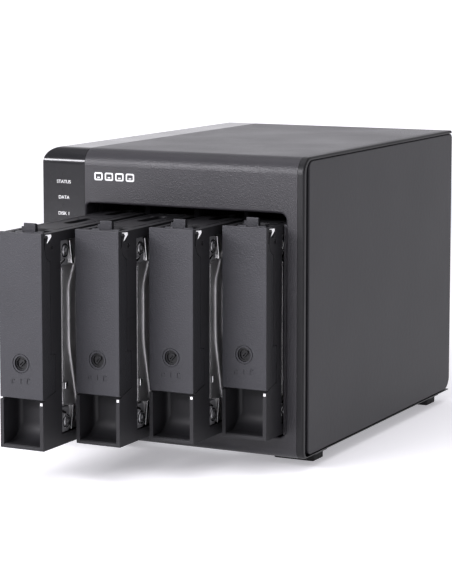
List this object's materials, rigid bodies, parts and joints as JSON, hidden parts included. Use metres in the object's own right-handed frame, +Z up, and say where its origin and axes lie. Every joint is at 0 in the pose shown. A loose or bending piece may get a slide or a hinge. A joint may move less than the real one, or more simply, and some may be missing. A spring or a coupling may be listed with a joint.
{
  "type": "network attached storage box",
  "caption": "Desktop storage box with pull-out drive trays on hinged, lockable handles, a glossy status strip, a rear fan and network, data and power sockets.",
  "frame": {"origin": "bottom centre of the bounding box, on the desk, with the trays as stored", "axes": "+X to the viewer's right across the front, +Y from the front to the back, +Z up; the trays slide towards -Y"},
  "size_m": [0.16, 0.3124, 0.1685],
  "materials": {
    "bezel_plastic": "fine moulded grain, charcoal",
    "gloss_black": "piano black, mirror smooth",
    "panel_paint": "satin dark grey powder paint",
    "trim_plastic": "satin black",
    "sheet_steel": "zinc-plated sheet",
    "rear_paint": "fine black powder paint",
    "foot_rubber": "matt black",
    "tray_plastic": "moulded black",
    "handle_plastic": "fine moulded grain, bluish charcoal",
    "lock_plastic": "satin black",
    "button_plastic": "gloss black",
    "spring_steel": "bright",
    "drive_casting": "sand-blasted casting",
    "drive_steel": "bright stamped sheet",
    "circuit_board": "solder resist",
    "chip_black": "moulded packages",
    "port_metal": "tin-plated shell",
    "port_plastic": "black moulding",
    "fan_plastic": "black moulding",
    "screw_steel": "plated",
    "heat_sink_metal": "extruded",
    "light_guide": "clear peg"
  },
  "bodies": {
    "case": {"front_bezel": "bezel_plastic", "gloss_strip": "gloss_black", "top_cover": "bezel_plastic", "side_frame_right": "trim_plastic", "side_frame_left": "sheet_steel", "side_panel_right": "panel_paint", "side_panel_left": "panel_paint", "chassis_base": "rear_paint", "foot_blocks": "trim_plastic", "foot_pads": "foot_rubber", "front_usb_port": "port_metal", "light_guides": "light_guide", "status_board": "circuit_board", "guide_rack_upper": "tray_plastic", "guide_rack_lower": "tray_plastic", "cage_walls": "sheet_steel", "backplane_board": "circuit_board", "drive_sockets": "port_plastic", "main_board": "circuit_board", "heat_sink": "heat_sink_metal", "board_parts": "chip_black", "lan_jacks": "port_metal", "rear_usb_ports": "port_metal", "power_jack": "port_plastic", "rear_panel": "rear_paint", "socket_plate": "rear_paint", "rear_screws": "screw_steel", "fan_frame": "fan_plastic"},
    "power_button": {"power_button": "button_plastic"},
    "copy_button": {"copy_button": "button_plastic"},
    "reset_button": {"reset_button": "button_plastic"},
    "fan_rotor": {"fan_rotor": "fan_plastic"},
    "tray_1": {"tray_carrier_1": "tray_plastic", "tray_steel_1": "spring_steel", "drive_body_1": "drive_casting", "drive_cover_1": "drive_steel", "drive_board_1": "circuit_board"},
    "handle_1": {"tray_handle_1": "handle_plastic"},
    "lock_1": {"tray_lock_1": "lock_plastic"},
    "tray_2": {"tray_carrier_2": "tray_plastic", "tray_steel_2": "spring_steel", "drive_body_2": "drive_casting", "drive_cover_2": "drive_steel", "drive_board_2": "circuit_board"},
    "handle_2": {"tray_handle_2": "handle_plastic"},
    "lock_2": {"tray_lock_2": "lock_plastic"},
    "tray_3": {"tray_carrier_3": "tray_plastic", "tray_steel_3": "spring_steel", "drive_body_3": "drive_casting", "drive_cover_3": "drive_steel", "drive_board_3": "circuit_board"},
    "handle_3": {"tray_handle_3": "handle_plastic"},
    "lock_3": {"tray_lock_3": "lock_plastic"},
    "tray_4": {"tray_carrier_4": "tray_plastic", "tray_steel_4": "spring_steel", "drive_body_4": "drive_casting", "drive_cover_4": "drive_steel", "drive_board_4": "circuit_board"},
    "handle_4": {"tray_handle_4": "handle_plastic"},
    "lock_4": {"tray_lock_4": "lock_plastic"}
  },
  "joints": [
    {"name": "tray_1_slide", "type": "slide", "parent": "case", "child": "tray_1", "axis": [0, -1, 0], "range_m": [-0.0934, 0.0786]},
    {"name": "handle_1_hinge", "type": "hinge", "parent": "tray_1", "child": "handle_1", "pos_m": [-0.03715, -0.1457, 0.1248], "axis": [-1, 0, 0], "range_deg": [0, 45]},
    {"name": "lock_1_turn", "type": "hinge", "parent": "handle_1", "child": "lock_1", "pos_m": [-0.03715, -0.1562, 0.065], "axis": [0, -1, 0], "range_deg": [0, 90]},
    {"name": "tray_2_slide", "type": "slide", "parent": "case", "child": "tray_2", "axis": [0, -1, 0], "range_m": [-0.0676, 0.1044]},
    {"name": "handle_2_hinge", "type": "hinge", "parent": "tray_2", "child": "handle_2", "pos_m": [-0.00665, -0.1199, 0.1248], "axis": [-1, 0, 0], "range_deg": [0, 45]},
    {"name": "lock_2_turn", "type": "hinge", "parent": "handle_2", "child": "lock_2", "pos_m": [-0.00665, -0.1304, 0.065], "axis": [0, -1, 0], "range_deg": [0, 90]},
    {"name": "tray_3_slide", "type": "slide", "parent": "case", "child": "tray_3", "axis": [0, -1, 0], "range_m": [-0.0435, 0.1285]},
    {"name": "handle_3_hinge", "type": "hinge", "parent": "tray_3", "child": "handle_3", "pos_m": [0.02385, -0.0958, 0.1248], "axis": [-1, 0, 0], "range_deg": [0, 45]},
    {"name": "lock_3_turn", "type": "hinge", "parent": "handle_3", "child": "lock_3", "pos_m": [0.02385, -0.1063, 0.065], "axis": [0, -1, 0], "range_deg": [0, 90]},
    {"name": "tray_4_slide", "type": "slide", "parent": "case", "child": "tray_4", "axis": [0, -1, 0], "range_m": [-0.0189, 0.1531]},
    {"name": "handle_4_hinge", "type": "hinge", "parent": "tray_4", "child": "handle_4", "pos_m": [0.05435, -0.0712, 0.1248], "axis": [-1, 0, 0], "range_deg": [0, 45]},
    {"name": "lock_4_turn", "type": "hinge", "parent": "handle_4", "child": "lock_4", "pos_m": [0.05435, -0.0817, 0.065], "axis": [0, -1, 0], "range_deg": [0, 90]},
    {"name": "fan_spin", "type": "hinge", "parent": "case", "child": "fan_rotor", "pos_m": [0.0086, 0.1372, 0.084], "axis": [0, 1, 0], "continuous": true},
    {"name": "power_button_press", "type": "slide", "parent": "case", "child": "power_button", "axis": [0, 1, 0], "range_m": [0, 0.0012], "stiffness_N_per_m": 400, "springref_m": -0.0005},
    {"name": "copy_button_press", "type": "slide", "parent": "case", "child": "copy_button", "axis": [0, 1, 0], "range_m": [0, 0.0012], "stiffness_N_per_m": 400, "springref_m": -0.0005},
    {"name": "reset_button_press", "type": "slide", "parent": "case", "child": "reset_button", "axis": [0, -1, 0], "range_m": [0, 0.001], "stiffness_N_per_m": 400, "springref_m": -0.0005}
  ]
}
